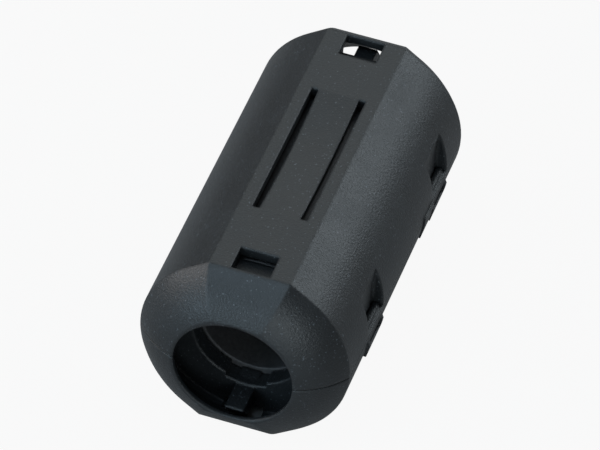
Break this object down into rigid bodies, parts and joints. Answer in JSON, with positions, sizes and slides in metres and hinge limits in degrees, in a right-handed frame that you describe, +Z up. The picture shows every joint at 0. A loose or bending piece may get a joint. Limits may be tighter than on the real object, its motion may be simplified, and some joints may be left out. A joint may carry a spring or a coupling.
{
  "type": "clip-on ferrite bead",
  "caption": "Clip-on ferrite for a round cable: hinged black plastic case with domed ends, side snap latches, and a ferrite half ring in each half.",
  "frame": {"origin": "centre of the cable bore, at mid-length", "axes": "+X along the cable axis, +Y to the latch side, +Z up through the half that opens"},
  "size_m": [0.0406, 0.0204, 0.019],
  "materials": {
    "case": "fine moulded grain, satin",
    "hinge": "fine moulded grain, satin",
    "ferrite": "dark grey sintered ferrite, ground joint faces"
  },
  "bodies": {
    "base": {"lower_shell": "case", "lower_core": "ferrite", "hinge_web_front": "hinge", "hinge_web_rear": "hinge"},
    "lid": {"upper_shell": "case", "upper_core": "ferrite"}
  },
  "joints": [
    {"name": "case_hinge", "type": "hinge", "parent": "base", "child": "lid", "pos_m": [0, -0.0102, 0], "axis": [1, 0, 0], "range_deg": [0, 180], "deforming": ["hinge_web_front", "hinge_web_rear"]}
  ]
}
